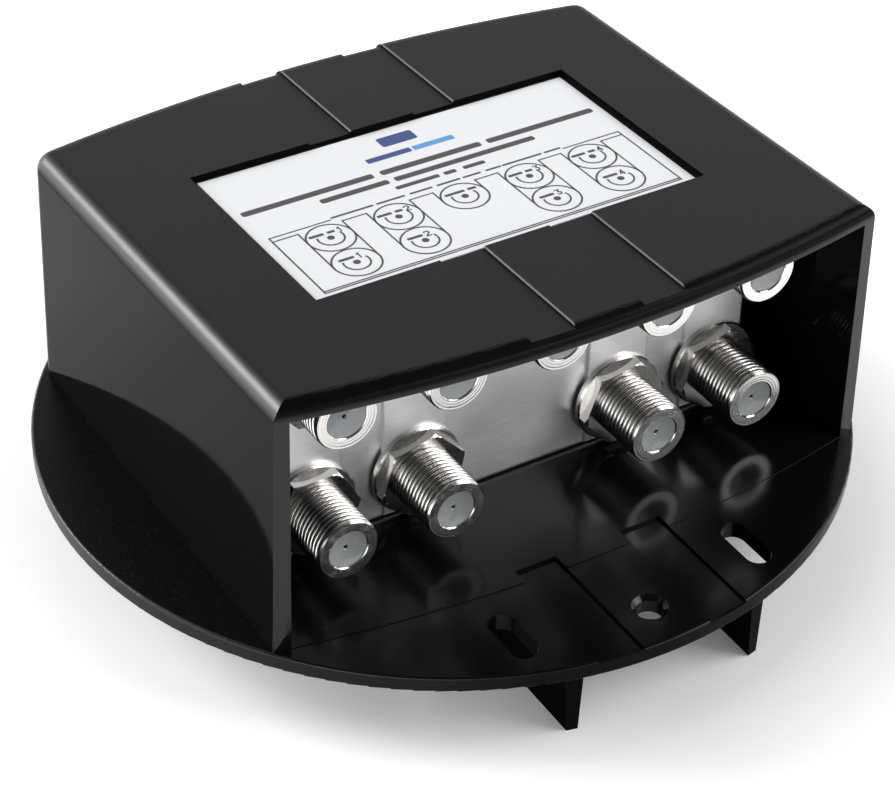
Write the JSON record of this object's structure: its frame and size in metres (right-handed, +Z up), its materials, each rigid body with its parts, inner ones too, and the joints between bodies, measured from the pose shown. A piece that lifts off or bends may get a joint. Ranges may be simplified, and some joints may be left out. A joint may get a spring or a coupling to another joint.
{
  "type": "coaxial combiner",
  "caption": "Weatherproof mast housing of round plate and open-fronted hood around a metal satellite and terrestrial signal combiner with two rows of threaded coaxial sockets.",
  "frame": {"origin": "axis of the round plate, level with the feet of the two ribs it stands on", "axes": "+Z up through the plate to the roof of the hood, -Y out of the open mouth, +X to the right of someone looking into the mouth"},
  "size_m": [0.1228, 0.1228, 0.0522],
  "materials": {
    "housing_plastic": "fine matt grain outside, smooth and glossy inside",
    "label_film": "satin printed film",
    "case_metal": "horizontally brushed nickel",
    "connector_nickel": "bright nickel",
    "washer_nickel": "satin nickel",
    "insulator_plastic": "translucent",
    "contact_bronze": "bright",
    "board_laminate": "solder resist",
    "chip_ceramic": "matt",
    "coil_copper": "lacquered",
    "ferrite": "matt",
    "tinplate": "bright tin",
    "screw_steel": "zinc plated"
  },
  "bodies": {
    "root": {"weather_housing": "housing_plastic", "label": "label_film", "combiner_case": "case_metal", "case_cover": "tinplate", "cover_screws": "screw_steel", "case_screws": "screw_steel", "circuit_board": "board_laminate", "chip_capacitors": "chip_ceramic", "connector_washers": "washer_nickel", "sat_input_1_connector": "connector_nickel", "sat_input_2_connector": "connector_nickel", "terrestrial_input_connector": "connector_nickel", "sat_input_3_connector": "connector_nickel", "sat_input_4_connector": "connector_nickel", "output_1_connector": "connector_nickel", "output_2_connector": "connector_nickel", "output_3_connector": "connector_nickel", "output_4_connector": "connector_nickel", "sat_input_1_insulator": "insulator_plastic", "sat_input_2_insulator": "insulator_plastic", "terrestrial_input_insulator": "insulator_plastic", "sat_input_3_insulator": "insulator_plastic", "sat_input_4_insulator": "insulator_plastic", "output_1_insulator": "insulator_plastic", "output_2_insulator": "insulator_plastic", "output_3_insulator": "insulator_plastic", "output_4_insulator": "insulator_plastic", "sat_input_1_contact": "contact_bronze", "sat_input_2_contact": "contact_bronze", "terrestrial_input_contact": "contact_bronze", "sat_input_3_contact": "contact_bronze", "sat_input_4_contact": "contact_bronze", "output_1_contact": "contact_bronze", "output_2_contact": "contact_bronze", "output_3_contact": "contact_bronze", "output_4_contact": "contact_bronze", "filter_coils_1": "coil_copper", "filter_coils_2": "coil_copper", "filter_coils_3": "coil_copper", "filter_coils_4": "coil_copper", "splitter_core_1": "ferrite", "splitter_core_2": "ferrite", "splitter_core_3": "ferrite", "shield_partition_1": "tinplate", "shield_partition_2": "tinplate", "shield_partition_3": "tinplate", "shield_partition_4": "tinplate"}
  },
  "joints": []
}
